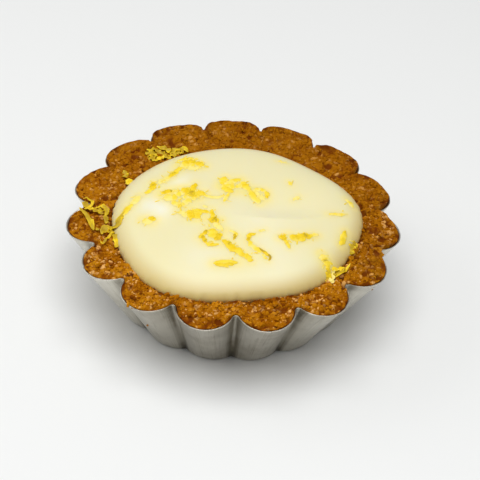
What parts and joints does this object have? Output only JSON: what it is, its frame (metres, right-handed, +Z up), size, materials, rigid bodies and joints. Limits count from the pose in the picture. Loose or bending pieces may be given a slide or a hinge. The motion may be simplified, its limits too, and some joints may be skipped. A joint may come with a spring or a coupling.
{
  "type": "lemon tartlet",
  "caption": "Small round tartlet in its own fluted metal tin: a baked crumb crust pressed into the tin, filled with a domed pale lemon cream and scattered with shreds of lemon zest.",
  "frame": {"origin": "centre of the tin's flat base, on the surface it stands on", "axes": "+Z up through the middle of the tin, -Y towards the served front, +X to the right seen from the front"},
  "size_m": [0.0755, 0.0755, 0.0258],
  "materials": {
    "tinplate": "dull satin tinplate, slightly tarnished by baking",
    "crumb_crust": "baked golden-brown crumbs, rough and dull with paler grains",
    "lemon_cream": "smooth pale yellow cream with a soft sheen",
    "lemon_zest": "moist shreds of yellow peel"
  },
  "bodies": {
    "root": {"tin": "tinplate", "crust": "crumb_crust", "filling": "lemon_cream"}
  },
  "joints": []
}
